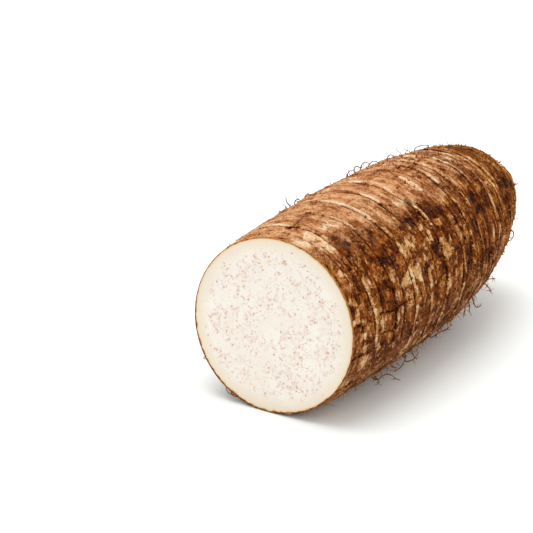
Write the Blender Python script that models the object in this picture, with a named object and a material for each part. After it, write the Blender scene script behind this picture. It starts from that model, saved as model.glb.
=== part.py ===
# The cut half of a malanga root, lying on its belly.
# Metres, +Z up. +Y runs along the root from the cut face to the grown end.
# The origin is on the table, on the flat strip that the root rests on.
# Run it with: blender --background --python part.py

import math
import random

import bmesh
import bpy
from mathutils import Vector, noise

MM = 0.001

# The body: its length along the axis, and the height of its cut face
LENGTH = 240.4 * MM
FACE_HEIGHT = 100 * MM
ORIGIN_FROM_CUT = 88 * MM

# The top line rises by a swell and a taper, then rounds off towards the grown end
TOP_SWELL = 4.5 * MM
TOP_TAPER = 10.5 * MM
TOP_FULLNESS, TOP_ROUNDING = 4.7, 3.4
# The belly line lies on the table, then curves up to the middle of the grown end
END_HEIGHT = 55.8 * MM
BELLY_FULLNESS, BELLY_ROUNDING = 4.7, 1.3
# The sides narrow sooner than the top does, and the root bends a little to one side
SIDE_FULLNESS, SIDE_ROUNDING = 2.5, 3.0
SIDEWAYS_BEND = -8.3 * MM
# Near the table the skin is pressed down and flat underneath, except at the cut
BELLY_PRESS = 2.2 * MM
BELLY_PRESS_HEIGHT = 14 * MM
BELLY_PRESS_FADE = 22 * MM

# The knife went through on the slant: how far the cut leans back, and how far it turns
CUT_LEAN = 0.092
CUT_TURN = 0.125
CUT_REACH = 0.15

# Leaf scars ring the root: how far each is from the cut, along the skin of the right side
SCARS = (20, 42, 60, 79, 97, 115, 131, 143, 158, 169, 186, 197, 207, 216, 224, 231, 238, 244, 249)
SCAR_LIP = 0.6 * MM
SCAR_GROOVE = 0.5 * MM
SCAR_WIDTH = 1.5 * MM
# A wide gap between two scars has a finer one near its middle
WIDE_GAP = 9.5 * MM
FINE_PLACE = 0.47
FINE_SHARE = 0.55
# The rings lean: they come nearer to the cut over the top and down the left side
RING_LEAN = 8.5 * MM
RING_LEAN_RISE = 32 * MM
RING_LEAN_FALL = 60 * MM
RING_SIDE = math.radians(10)
RING_WANDER = 1.6 * MM

# Slow swellings that keep the root from being a turned shape
LOBE_HEIGHT = 0.9 * MM
BUD_HEIGHT = 5 * MM
BUD_RADIUS = 15 * MM
BUD_SHARE, BUD_ANGLE = 0.84, math.radians(152)
# The scar where the root was joined to its parent, in the middle of the grown end
END_SCAR_RADIUS = 9 * MM
END_SCAR_DEPTH = 2.4 * MM

# The mesh
COLUMNS = 40
MERIDIAN_STEPS = 600

# Rootlets, the thick ones only
ROOTLET_RADIUS = 0.5 * MM
ROOTLET_TIP_RADIUS = 0.34 * MM
ROOTLET_SIDES = 4
ROOTLET_SUNK = 2.5 * MM
ROOTLET_CLEARANCE = 1.2 * MM
# On the right flank and along the top: where each grows (mm along the skin, degrees round
# it), then the places it passes, in mm from there along FLANK_ACROSS and FLANK_RISE
FLANK_ACROSS = Vector((0.786, 0.618, 0.0))
FLANK_RISE = Vector((-0.231, 0.294, 0.928))
FLANK_ROOTLETS = (
    ((48, -49), ((1.2, -1.9), (3.8, -2.7), (6.0, -0.8), (9.0, 0.3), (11.6, -0.3), (13.8, -2.1), (16.4, -3.0))),
    ((50, -49), ((1.4, -2.3), (2.8, -4.0), (3.0, -5.4))),
    ((65, -48), ((0.5, -0.7), (1.8, -1.8), (3.8, -2.6))),
    ((80, -47), ((0.8, -1.2), (0.2, -4.5), (-2.0, -8.1), (-5.4, -10.5))),
    ((78, -47), ((1.5, -2.1), (2.0, -3.9), (3.8, -3.8), (6.0, -3.0), (8.0, -1.0), (9.3, 1.0), (8.2, 2.5))),
    ((87, -47), ((0.4, -0.6), (1.3, -2.4), (3.3, -5.5), (4.4, -4.9))),
    ((106, -45), ((1.2, -1.1), (4.6, 0.7), (7.8, 2.5), (10.5, 3.5), (12.1, 5.0), (13.8, 6.4))),
    ((136, -31), ((0.8, -2.3), (0.0, -6.9))),
    ((149, -37), ((0.7, -2.8), (0.8, -7.1))),
    ((155, -37), ((1.1, -4.6), (3.0, -7.0), (4.9, -6.2))),
    ((159, -26), ((3.0, -1.9), (5.1, -5.4))),
    ((167, -33), ((3.3, 2.3), (6.7, 2.9))),
    ((209, -14), ((2.1, -0.6), (2.4, -2.9), (1.4, -5.2), (-1.0, -6.9))),
    ((60, 124), ((0.2, 2.2), (1.5, 3.3), (3.2, 2.6))),
    ((71, 125), ((0.7, 2.3), (2.9, 2.8), (5.3, 2.5))),
    ((109, 121), ((0.6, 2.3), (2.0, 4.1), (4.4, 4.1))),
    ((117, 120), ((-0.8, 3.0), (0.8, 4.6), (2.9, 3.6), (4.6, 4.4))),
    ((122, 120), ((0.4, 2.8), (1.8, 5.2), (3.8, 5.7), (5.6, 4.7))),
    ((129, 119), ((1.6, 3.1), (3.4, 4.3), (6.4, 3.6))),
    ((146, 116), ((1.3, 3.0), (2.7, 3.5), (3.9, 2.4))),
    ((172, 111), ((-0.5, 1.9), (2.7, 4.0), (8.3, 4.4))),
)
# On the left flank and the grown end they are scattered: (mm along the skin, degrees round
# it) of each bed, and how many grow in it
SCATTERED_BEDS = (
    ((30, 180), (208, 240), 7),
    ((40, 170), (140, 175), 3),
    ((222, 246), (0, 360), 4),
)
SCATTER_SEED = 23
SCATTERED_LENGTHS = (8 * MM, 17 * MM)
SCATTERED_STEPS = 7

SKIN_COLOUR = (0.30, 0.15, 0.07, 1.0)
SKIN_ROUGHNESS = 0.85


def clear_scene():
    for obj in list(bpy.data.objects):
        bpy.data.objects.remove(obj, do_unlink=True)


def skin_material():
    material = bpy.data.materials.new("malanga_skin")
    material.use_nodes = True
    shader = material.node_tree.nodes["Principled BSDF"]
    shader.inputs["Base Color"].default_value = SKIN_COLOUR
    shader.inputs["Roughness"].default_value = SKIN_ROUGHNESS
    shader.inputs["Metallic"].default_value = 0.0
    return material


def closing(share, fullness, rounding):
    """1 at the cut, falling to 0 at the grown end: the larger fullness is, the later it falls."""
    return max(0.0, 1 - share**fullness) ** (1 / rounding)


def plain_height(share):
    return FACE_HEIGHT + TOP_SWELL * math.sin(math.pi * min(share / 0.9, 1)) + TOP_TAPER * share


def top_line(share):
    return END_HEIGHT + (plain_height(share) - END_HEIGHT) * closing(share, TOP_FULLNESS, TOP_ROUNDING)


def belly_line(share):
    return END_HEIGHT * (1 - closing(share, BELLY_FULLNESS, BELLY_ROUNDING))


def half_width(share):
    return plain_height(share) / 2 * closing(share, SIDE_FULLNESS, SIDE_ROUNDING)


def smooth_point(share, angle):
    """A point of the body without its rings and lobes. Angle 0 is the right side, 90 degrees the top."""
    half_height = (top_line(share) - belly_line(share)) / 2
    middle = (top_line(share) + belly_line(share)) / 2
    across = half_width(share) * math.cos(angle) + SIDEWAYS_BEND * share**2
    up = half_height * math.sin(angle)
    slant = math.exp(-share / CUT_REACH) * (CUT_LEAN * up + CUT_TURN * across)
    return Vector((across, share * LENGTH - ORIGIN_FROM_CUT + slant, middle + up))


class Meridian:
    """Turns a distance along the skin, from the cut to the end, into a share of the length."""

    def __init__(self):
        self.shares = [1 - (1 - step / MERIDIAN_STEPS) ** 2 for step in range(MERIDIAN_STEPS + 1)]
        points = [(share * LENGTH, self.mean_radius(share)) for share in self.shares]
        self.reach = [0.0]
        for before, after in zip(points, points[1:]):
            self.reach.append(self.reach[-1] + math.dist(before, after))
        self.length = self.reach[-1]

    @staticmethod
    def mean_radius(share):
        return (half_width(share) + (top_line(share) - belly_line(share)) / 2) / 2

    def share_at(self, distance):
        distance = min(max(distance, 0.0), self.length)
        low, high = 0, MERIDIAN_STEPS
        while high - low > 1:
            middle = (low + high) // 2
            if self.reach[middle] <= distance:
                low = middle
            else:
                high = middle
        part = (distance - self.reach[low]) / (self.reach[high] - self.reach[low])
        return self.shares[low] + part * (self.shares[high] - self.shares[low])


def stray(distance, angle, length):
    """How far a ring strays along the root from its place on the right side."""
    to_end = max(0.0, length - distance)
    lean = RING_LEAN * (1 - math.exp(-distance / RING_LEAN_RISE)) * min(1.0, to_end / RING_LEAN_FALL)
    fade = min(1.0, distance / (25 * MM)) * min(1.0, to_end / (40 * MM))
    where = Vector((1.1 * math.cos(angle), 1.1 * math.sin(angle), distance / (45 * MM)))
    return RING_WANDER * fade * noise.noise(where) - lean * (1 - math.cos(angle - RING_SIDE))


def relief_strength(distance, angle):
    """Rings are bold on one side of the root and faint on another, and worn away underneath."""
    where = Vector((1.6 * math.cos(angle), 1.6 * math.sin(angle), distance / (16 * MM) + 40))
    off_strip = min(1.0, (1.0 + math.sin(angle)) / 0.05)
    return off_strip * min(1.3, max(0.25, 0.8 + 1.1 * noise.noise(where)))


def lobe(point):
    """Slow swelling over the whole root."""
    return LOBE_HEIGHT * noise.noise(point / (42 * MM))


def bud(point, centre):
    return BUD_HEIGHT * math.exp(-(((point - centre).length / BUD_RADIUS) ** 2))


def skin_normal(share, angle):
    step = 0.002
    low, high = max(0.0, share - step), min(1.0, share + step)
    along = smooth_point(high, angle) - smooth_point(low, angle)
    around = smooth_point(share, angle + step) - smooth_point(share, angle - step)
    return along.cross(around).normalized()


def skin_point(share, angle, distance, height, bud_centre):
    """A point of the skin in the ring at this distance. Height is the relief of the rings there."""
    point = smooth_point(share, angle)
    off_cut = min(1.0, distance / (12 * MM))
    off_belly = min(1.0, 1.0 + math.sin(angle))
    swelling = off_cut * (off_belly * lobe(point) + bud(point, bud_centre))
    point += skin_normal(share, angle) * (height + swelling)
    press = BELLY_PRESS * min(1.0, distance / BELLY_PRESS_FADE)
    point.z -= press * max(0.0, 1 - max(0.0, point.z) / BELLY_PRESS_HEIGHT)
    point.z = max(point.z, 0.0)
    return point


def skin_rows(length):
    """(distance along the skin, height of the relief) of each row of points."""
    rows = [(0.0, 0.0)]
    edges = [0.0, *(scar * MM for scar in SCARS), length - END_SCAR_RADIUS]
    for start, end in zip(edges, edges[1:]):
        gap = end - start
        if gap > WIDE_GAP:
            fine = start + FINE_PLACE * gap
            rows.append((start + 0.26 * gap, 0.0))
            rows.append((fine - SCAR_WIDTH / 2, FINE_SHARE * SCAR_LIP))
            rows.append((fine + SCAR_WIDTH / 2, -FINE_SHARE * SCAR_GROOVE))
            rows.append((start + 0.72 * gap, 0.0))
        else:
            rows.append((start + 0.48 * gap, 0.0))
        rows.append((end - SCAR_WIDTH, SCAR_LIP))
        rows.append((end, -SCAR_GROOVE))
    last = edges[-1]
    rows[-1] = (last, SCAR_LIP)
    rows.append((last + 0.35 * END_SCAR_RADIUS, -0.7 * END_SCAR_DEPTH))
    rows.append((last + 0.70 * END_SCAR_RADIUS, -END_SCAR_DEPTH))
    return rows


def build_body(meridian, bud_centre):
    body = bmesh.new()
    angles = [2 * math.pi * column / COLUMNS for column in range(COLUMNS)]
    cut = bmesh.ops.create_circle(body, segments=COLUMNS, radius=FACE_HEIGHT / 2)["verts"]
    cut_face = body.faces.new(cut)
    ring = list(cut)
    for number, (distance, height) in enumerate(skin_rows(meridian.length)):
        if number:
            edges = [body.edges.get((ring[i], ring[i - 1])) for i in range(COLUMNS)]
            made = bmesh.ops.extrude_edge_only(body, edges=edges)["geom"]
            fresh = {v for v in made if isinstance(v, bmesh.types.BMVert)}
            ring = [next(e.other_vert(v) for e in v.link_edges if e.other_vert(v) in fresh) for v in ring]
        on_end_scar = distance >= meridian.length - END_SCAR_RADIUS
        for vertex, angle in zip(ring, angles):
            share = meridian.share_at(distance + stray(distance, angle, meridian.length))
            strength = 1.0 if on_end_scar else relief_strength(distance, angle)
            vertex.co = skin_point(share, angle, distance, height * strength, bud_centre)
    end = body.faces.new(ring)
    bmesh.ops.poke(body, faces=[end, cut_face])
    bmesh.ops.triangulate(body, faces=body.faces)
    bmesh.ops.recalc_face_normals(body, faces=body.faces)
    return body


def rootlet_foot(meridian, distance, angle, bud_centre):
    """Where a rootlet leaves the skin, and the way straight out of the skin there."""
    share = meridian.share_at(distance)
    return skin_point(share, angle, distance, 0.0, bud_centre), skin_normal(share, angle)


def flank_path(meridian, place, passes, bud_centre):
    start, outwards = rootlet_foot(meridian, place[0] * MM, math.radians(place[1]), bud_centre)
    path = [start - outwards * ROOTLET_SUNK]
    path += [start + FLANK_ACROSS * across * MM + FLANK_RISE * rise * MM for across, rise in passes]
    return path


def scattered_path(meridian, chance, distances, angles, bud_centre):
    """A few wavering steps outwards from the skin, bending over to lie along it."""
    distance = chance.uniform(*distances) * MM
    start, outwards = rootlet_foot(meridian, distance, math.radians(chance.uniform(*angles)), bud_centre)
    spread = Vector((chance.uniform(-1, 1), chance.uniform(-1, 1), chance.uniform(-1, 0.4)))
    sideways = (spread - outwards * spread.dot(outwards)).normalized()
    step = chance.uniform(*SCATTERED_LENGTHS) / SCATTERED_STEPS
    heading = outwards.copy()
    path = [start - outwards * ROOTLET_SUNK, start + outwards * 0.4 * step]
    for _ in range(SCATTERED_STEPS - 1):
        waver = Vector((chance.uniform(-1, 1), chance.uniform(-1, 1), chance.uniform(-1, 1)))
        heading = (heading + 0.30 * sideways + 0.34 * waver + 0.10 * outwards).normalized()
        point = path[-1] + heading * step
        point.z = max(point.z, ROOTLET_CLEARANCE)
        path.append(point)
    return path


def rootlet_tube(name, path):
    """A tapering tube along the path, with few sides and closed ends."""
    tube = bmesh.new()
    ring = None
    last = len(path) - 1
    for number, point in enumerate(path):
        ahead = path[min(number + 1, last)] - path[max(number - 1, 0)]
        turn = ahead.to_track_quat("Z", "Y")
        radius = ROOTLET_RADIUS + (ROOTLET_TIP_RADIUS - ROOTLET_RADIUS) * number / last
        corners = []
        for side in range(ROOTLET_SIDES):
            angle = 2 * math.pi * side / ROOTLET_SIDES
            offset = Vector((radius * math.cos(angle), radius * math.sin(angle), 0))
            corners.append(tube.verts.new(point + turn @ offset))
        loop = [tube.edges.new((corners[i], corners[i - 1])) for i in range(ROOTLET_SIDES)]
        if ring:
            bmesh.ops.bridge_loops(tube, edges=ring + loop)
        else:
            tube.faces.new(corners)
        ring = loop
    tube.faces.new(corners)
    bmesh.ops.triangulate(tube, faces=tube.faces)
    bmesh.ops.recalc_face_normals(tube, faces=tube.faces)
    mesh = bpy.data.meshes.new(name)
    tube.to_mesh(mesh)
    tube.free()
    return bpy.data.objects.new(name, mesh)


def add_rootlets(meridian, bud_centre):
    paths = [flank_path(meridian, place, passes, bud_centre) for place, passes in FLANK_ROOTLETS]
    chance = random.Random(SCATTER_SEED)
    for distances, angles, count in SCATTERED_BEDS:
        paths += [scattered_path(meridian, chance, distances, angles, bud_centre) for _ in range(count)]
    bed = bpy.data.collections.new("rootlets")
    bpy.context.scene.collection.children.link(bed)
    for number, path in enumerate(paths):
        bed.objects.link(rootlet_tube(f"rootlet_{number}", path))
    return bed


def fuse(body, bed):
    """Grows the rootlets into the body as one solid, and removes the loose tubes."""
    union = body.modifiers.new("grown_together", "BOOLEAN")
    union.operation = "UNION"
    union.operand_type = "COLLECTION"
    union.collection = bed
    union.solver = "EXACT"
    bpy.context.view_layer.update()
    graph = bpy.context.evaluated_depsgraph_get()
    fused = bpy.data.meshes.new_from_object(body.evaluated_get(graph))
    body.modifiers.clear()
    body.data = fused
    for tube in list(bed.objects):
        bpy.data.objects.remove(tube, do_unlink=True)
    bpy.data.collections.remove(bed)


def build_root():
    meridian = Meridian()
    bud_centre = smooth_point(BUD_SHARE, BUD_ANGLE)
    body = build_body(meridian, bud_centre)
    mesh = bpy.data.meshes.new("malanga_root")
    body.to_mesh(mesh)
    body.free()
    root = bpy.data.objects.new("malanga_root", mesh)
    bpy.context.scene.collection.objects.link(root)
    fuse(root, add_rootlets(meridian, bud_centre))
    root.data.name = "malanga_root"
    root.data.materials.clear()
    root.data.materials.append(skin_material())
    root.data.shade_smooth()
    root.data.set_sharp_from_angle(angle=math.radians(50))
    return root


clear_scene()
build_root()
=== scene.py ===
import math
import random

import bmesh
import bpy
import numpy as np
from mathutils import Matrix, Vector, noise


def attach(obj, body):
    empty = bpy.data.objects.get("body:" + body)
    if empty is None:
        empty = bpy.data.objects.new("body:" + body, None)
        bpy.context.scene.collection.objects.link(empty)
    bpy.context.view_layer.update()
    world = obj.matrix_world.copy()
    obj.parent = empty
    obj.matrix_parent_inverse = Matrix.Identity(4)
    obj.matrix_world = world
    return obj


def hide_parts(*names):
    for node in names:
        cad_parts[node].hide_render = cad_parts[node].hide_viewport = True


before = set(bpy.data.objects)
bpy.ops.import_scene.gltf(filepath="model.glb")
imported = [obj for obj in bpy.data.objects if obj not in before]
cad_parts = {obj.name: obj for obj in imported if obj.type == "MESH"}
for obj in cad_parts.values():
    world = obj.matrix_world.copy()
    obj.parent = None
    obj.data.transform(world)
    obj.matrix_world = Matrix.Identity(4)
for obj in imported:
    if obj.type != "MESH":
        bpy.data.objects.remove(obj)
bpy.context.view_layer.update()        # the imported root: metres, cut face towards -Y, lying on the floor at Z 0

print("frame loaded")

mm = 0.001
chance = random.Random(7)          # another number gives other made-up marks and hairs

# The root's form, the same as the solid's
form = {
    "length": 240.4 * mm,
    "cutHeight": 100 * mm,
    "originFromCut": 88 * mm,
    "topSwell": 4.5 * mm,
    "topSwellReach": 0.9,
    "topTaper": 10.5 * mm,
    "topFullness": 4.7,
    "topRounding": 3.4,
    "endHeight": 55.8 * mm,
    "bellyFullness": 4.7,
    "bellyRounding": 1.3,
    "sideFullness": 2.5,
    "sideRounding": 3.0,
    "sidewaysBend": -8.3 * mm,
    "bellyPress": 2.2 * mm,
    "bellyPressHeight": 14 * mm,
    "bellyPressFade": 22 * mm,
    "cutLean": 0.092,
    "cutTurn": 0.125,
    "cutReach": 0.15,
    "ringLean": 8.5 * mm,
    "ringLeanRise": 32 * mm,
    "ringLeanFall": 60 * mm,
    "ringSide": math.radians(10),
    "ringWander": 1.6 * mm,
    "wanderTurns": 1.1,
    "wanderLength": 45 * mm,
    "wanderRise": 25 * mm,
    "wanderFall": 40 * mm,
    "lobeHeight": 0.9 * mm,
    "lobeLength": 42 * mm,
    "lobeRise": 12 * mm,
    "budHeight": 5 * mm,
    "budRadius": 15 * mm,
    "budShare": 0.84,
    "budAngle": math.radians(152),
    "endScarRadius": 9 * mm,
    "meridianSteps": 600,
}
cutRadius = form["cutHeight"] / 2
# The rings, in mm from the cut
scars = (20, 42, 60, 79, 97, 115, 131, 143, 158, 169, 186, 197, 207, 216, 224, 231, 238, 244, 249)


def closing(share, fullness, rounding):
    return np.maximum(0.0, 1 - share**fullness) ** (1 / rounding)


def plainHeight(share):
    swell = form["topSwell"] * np.sin(np.pi * np.minimum(share / form["topSwellReach"], 1))
    return form["cutHeight"] + swell + form["topTaper"] * share


def topLine(share):
    rise = plainHeight(share) - form["endHeight"]
    return form["endHeight"] + rise * closing(share, form["topFullness"], form["topRounding"])


def bellyLine(share):
    return form["endHeight"] * (1 - closing(share, form["bellyFullness"], form["bellyRounding"]))


def halfWidth(share):
    return plainHeight(share) / 2 * closing(share, form["sideFullness"], form["sideRounding"])


# The body without rings. Angle 0 is the right side and a quarter turn is the top
def smoothPoints(share, angle):
    top, belly = topLine(share), bellyLine(share)
    across = halfWidth(share) * np.cos(angle) + form["sidewaysBend"] * share**2
    up = (top - belly) / 2 * np.sin(angle)
    slant = np.exp(-share / form["cutReach"]) * (form["cutLean"] * up + form["cutTurn"] * across)
    along = share * form["length"] - form["originFromCut"] + slant
    return np.stack([across, along, (top + belly) / 2 + up], -1)


# Which way the skin faces
def outward(share, angle):
    step = 0.002
    ahead = smoothPoints(np.minimum(1, share + step), angle)
    behind = smoothPoints(np.maximum(0, share - step), angle)
    around = smoothPoints(share, angle + step) - smoothPoints(share, angle - step)
    facing = np.cross(ahead - behind, around)
    return facing / np.linalg.norm(facing, axis=-1, keepdims=True)


# Distances along the skin against shares of the length
shareSteps = 1 - (1 - np.arange(form["meridianSteps"] + 1) / form["meridianSteps"]) ** 2
radiusSteps = (halfWidth(shareSteps) + (topLine(shareSteps) - bellyLine(shareSteps)) / 2) / 2
stepLengths = np.hypot(np.diff(shareSteps * form["length"]), np.diff(radiusSteps))
reachSteps = np.concatenate([[0], np.cumsum(stepLengths)])
skinLength = reachSteps[-1]


def shareAt(distance):
    return np.interp(distance, reachSteps, shareSteps)


# Noise between about -1 and 1 at each place of a grid of places
def noiseOver(places, octaves=1, fade=0.7, step=2.1):
    flat = places.reshape(-1, 3).tolist()
    if octaves == 1:
        values = [noise.noise(place) for place in flat]
    else:
        values = [noise.fractal(place, fade, step, octaves) for place in flat]
    return np.array(values).reshape(places.shape[:-1])


budCentre = smoothPoints(np.array(form["budShare"]), np.array(form["budAngle"]))


# The body with its swellings, its bud and the strip it lies on, and which way it faces. Relief is in metres
def bodyPoints(share, angle, distance, relief=0.0):
    points = smoothPoints(share, angle)
    facing = outward(share, angle)
    lobe = form["lobeHeight"] * noiseOver(points / form["lobeLength"]) * np.minimum(1, 1 + np.sin(angle))
    fromBud = np.linalg.norm(points - budCentre, axis=-1)
    bud = form["budHeight"] * np.exp(-((fromBud / form["budRadius"]) ** 2))
    swelling = np.minimum(1, distance / form["lobeRise"]) * (lobe + bud)
    points = points + facing * (relief + swelling)[..., None]
    press = form["bellyPress"] * np.minimum(1, distance / form["bellyPressFade"])
    height = np.maximum(0, points[..., 2])
    points[..., 2] -= press * np.maximum(0, 1 - height / form["bellyPressHeight"])
    points[..., 2] = np.maximum(points[..., 2], 0.0)
    return points, facing


# The skin: measured on the right side and the top, made up on the hidden sides
skin = {
    "columns": 304,
    "rows": 322,
    "rowWide": 1.3 * mm,
    "rowFine": 0.5 * mm,
    "rowTests": 6000,
    "finePlace": 0.4 * mm,     # the rows are finest this far past each ring
    "fineWidth": 2.4 * mm,
    "tipGap": 0.3 * mm,
    "lip": 0.55,               # ring relief, mm
    "groove": 0.9,
    "edge": 0.7,
    "lipPlace": -1.6,          # from the groove, mm
    "edgePlace": 1.7,
    "lipWidth": 1.3,
    "grooveWidth": 0.75,
    "edgeWidth": 1.2,
    "fineRing": 0.5,           # size of the ring between two wide-set ones
    "fineRingGap": 9.5,
    "fineRingShare": 0.47,
    "faintEdge": 0.25,
    "flakeRow": 0.24,
    "fibre": 0.20,             # streaks round the root, mm
    "fibreLength": 6.25,       # times as long as wide
    "grain": 0.22,
    "blotch": 0.5,
    "creamLift": 0.35,
    "crackDepth": 0.7,
    "crackWidth": 0.8,
    "pitDepth": 0.9,
    "bandStart": 125,          # from here on, mm, the fine arcs take over from the flakes
    "bandFade": 90,
    "arcSpacing": 3.4,         # mm
    "arcSqueeze": 0.035,       # the smaller, the farther the arcs run round the root
    "arcRidge": 0.28,
    "arcWidth": 0.12,
    "tail": 1000,              # mm, past either end
    "endScar": ((-0.3, 0), (0, 0.6), (0.35, -1.7), (0.7, -2.4), (1, -2.4)),     # share of its radius, mm
    "rimWidth": 0.75 * mm,
    "rimWavers": 14,
    "recess": 3 * mm,
}

seenSide = 50                      # degrees, the middle of the side that was measured
# Where a ring wasn't measured, how far it lies from the solid's: (degrees from the seen side, mm)
usualShift = (
    (-150, 0), (-110, 3.5), (-80, 3), (-55, 0.6), (-30, -0.4), (-5, 0.5), (20, 0), (45, -1), (90, 0),
)
courseMargin, courseFade = 12, 40  # degrees past the measured part
settledRings = 7                   # the last rings come back to the solid's

# Where the bright edge of each ring runs, as (degrees round the root, mm from the cut)
ringCourses = {
    20: ((-27, 25.5), (0, 23), (21, 21), (101, 18)),
    42: ((2, 43), (72, 42)),
    60: ((-30, 65.5), (-7, 63), (20, 62.5), (45, 62.8), (62, 59), (80, 57), (97, 55)),
    79: ((-2, 80), (13, 79), (77, 76)),
    97: ((-15, 96.5), (12, 97.5), (48, 96.5), (70, 92), (97, 88.5)),
    115: ((-5, 119), (52, 115), (70, 110.5)),
    131: ((-5, 132), (42, 131.5), (70, 130)),
    143: ((42, 144), (68, 141), (94, 135.5)),
    158: ((48, 159),),
    169: ((52, 169), (77, 165.5)),
    186: ((40, 188), (60, 184)),
}
# Where the cream edge shows: (from, to) in degrees, how bright, how wide in mm
creamEdges = {
    20: ((93, 110, 0.8, 2.0), (13, 30, 0.9, 2.4), (-9, 9, 0.9, 2.8), (-35, -20, 0.7, 2.2)),
    42: ((62, 83, 0.6, 1.4), (-3, 8, 0.65, 1.6)),
    60: ((60, 98, 1.0, 2.3), (36, 56, 0.8, 3.2), (11, 28, 0.9, 2.8), (-17, 3, 0.85, 2.8),
         (-42, -20, 0.75, 2.6)),
    79: ((70, 84, 0.85, 2.0), (8, 19, 0.9, 2.8), (-8, 2, 0.8, 2.4), (-34, -20, 0.6, 2.0)),
    97: ((92, 103, 0.75, 2.2), (63, 78, 0.9, 2.8), (40, 58, 0.8, 1.2), (-4, 27, 0.9, 2.6),
         (-19, -8, 0.8, 2.8)),
    115: ((62, 80, 0.8, 3.0), (44, 59, 0.6, 1.2), (0, 10, 0.6, 1.8), (-20, -4, 0.8, 2.2)),
    131: ((60, 80, 0.6, 2.6), (33, 50, 0.8, 3.0), (-14, 5, 0.75, 1.8)),
    143: ((60, 98, 0.9, 2.2), (35, 50, 0.75, 2.0), (-6, 4, 0.5, 1.6)),
    158: ((35, 62, 0.6, 1.3), (70, 80, 0.5, 2.0)),
    169: ((70, 85, 0.8, 2.6), (44, 62, 0.7, 1.6)),
    186: ((48, 72, 0.8, 4.0), (34, 46, 0.65, 2.0)),
    197: ((36, 50, 0.5, 1.6),),
    207: ((40, 75, 0.5, 3.0),),
}
# Worn, pale places: (from, to) in mm from the cut, (from, to) in degrees, how pale
palePlaces = (
    (0, 20, 60, 80, 0.75), (0, 9, 12, 26, 0.6), (6, 11, 42, 52, 0.6), (7, 11, 0, 9, 0.65),
    (9, 13, 33, 39, 0.4), (11, 17, -22, -12, 0.75), (10, 14, -10, -1, 0.5), (17, 21, 40, 48, 0.6),
    (23, 28, 30, 35, 0.5), (24, 38, 72, 79, 0.5), (40, 44, 62, 80, 0.3), (40, 46, 10, 17, 0.6),
    (49, 56, 9, 16, 0.65), (48, 80, 17, 27, 0.6), (62, 70, 30, 42, 0.7), (70, 80, 36, 44, 0.5),
    (48, 58, 2, 8, 0.45), (83, 92, 60, 70, 0.7), (83, 93, 33, 42, 0.6), (100, 106, 16, 43, 0.55),
    (107, 112, 17, 25, 0.45), (113, 120, 22, 36, 0.5), (121, 128, 20, 33, 0.45), (129, 135, 20, 30, 0.45),
    (145, 156, 60, 95, 0.45), (137, 147, -19, -7, 0.6), (147, 152, 24, 34, 0.3), (161, 166, 42, 50, 0.55),
    (174, 181, 26, 46, 0.55), (170, 174, 54, 58, 0.95), (185, 202, -13, 1, 0.5), (203, 216, 44, 76, 0.35),
    (165, 175, 8, 16, 0.35), (44, 50, -38, -28, 0.4), (96, 104, -30, -16, 0.4), (150, 165, -14, -4, 0.3),
    (203, 213, 8, 18, 0.4),
)
# Dark places, in the same way
darkPlaces = (
    (20, 50, 36, 70, 0.50), (20, 30, 52, 66, 0.35), (98, 113, 42, 58, 0.8), (35, 60, 34, 46, 0.40),
    (24, 46, -22, -11, 0.75), (28, 42, 8, 30, 0.35), (80, 90, 42, 52, 0.55), (160, 168, 50, 61, 0.5),
    (159, 168, 30, 40, 0.7), (190, 196, 32, 49, 0.85), (199, 206, 30, 58, 0.8), (150, 158, 30, 48, 0.6),
    (107, 113, 14, 34, 0.6), (0, 20, 26, 32, 0.5), (0, 20, 8, 12, 0.55), (137, 141, 34, 45, 0.6),
    (120, 131, 12, 18, 0.5), (82, 95, 8, 30, 0.3), (185, 200, 72, 84, 0.45), (178, 190, 18, 30, 0.4),
    (186, 200, 20, 26, 0.7), (205, 222, 20, 42, 0.35), (60, 75, -12, -4, 0.3), (95, 120, -34, -24, 0.35),
    (120, 160, 0, 12, 0.25), (160, 175, -2, 6, 0.5), (92, 97, 28, 34, 0.5), (70, 80, 28, 34, 0.5),
)
# Grey, sooty places, in the same way
sootyPlaces = (
    (24, 31, 56, 62, 0.7), (90, 97, 55, 62, 0.7), (34, 40, 64, 70, 0.4), (43, 52, 46, 56, 0.45),
    (92, 98, 66, 72, 0.4), (48, 56, 30, 36, 0.35), (116, 122, 86, 92, 0.35), (30, 36, 84, 90, 0.3),
    (187, 194, 28, 36, 0.45), (60, 72, 200, 212, 0.6), (118, 130, 152, 164, 0.7), (30, 40, 176, 188, 0.5),
    (170, 182, 232, 244, 0.6), (88, 96, 264, 274, 0.5), (150, 160, 300, 310, 0.4), (206, 214, 128, 140, 0.5),
)
# Long dark cracks: (mm, degrees) at each end, how deep
longCracks = (
    (0, 89, 34, 95, 0.55), (0, 54, 46, 59, 0.5), (0, 11, 70, 8, 0.8), (0, -9, 35, -11, 0.9),
    (128, 80, 148, 88, 0.8), (20, 72, 60, 66, 0.4), (75, 30, 100, 28, 0.5), (0, 30, 22, 28, 0.6),
    (10, 43, 22, 46, 0.6), (60, 45, 64, 47, 0.9), (36, 42, 60, 37, 0.6), (150, 22, 180, 14, 0.7),
    (150, 4, 190, 0, 0.7), (118, -20, 150, -24, 0.7), (60, -20, 80, -22, 0.6), (105, 32, 118, 12, 0.7),
    (0, 72, 20, 69, 0.5), (95, 58, 106, 56, 0.5), (180, 24, 200, 20, 0.9), (25, -2, 45, -6, 0.6),
    (82, -14, 96, -18, 0.5), (160, 52, 170, 48, 0.4),
)
# Pits: mm, degrees, size in mm
pits = (
    (62, 45, 1.3), (112, 20, 1.3), (123, 72, 1.6), (16, 93, 1.8), (38, 95, 1.8), (192, 24, 2.0),
    (28, 59, 1.6), (111, 27, 1.0), (85, 47, 1.2), (75, 69, 0.8), (125, 100, 1.0), (66, 101, 1.0),
    (13, 78, 0.8), (46, 60, 0.8),
)
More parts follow.
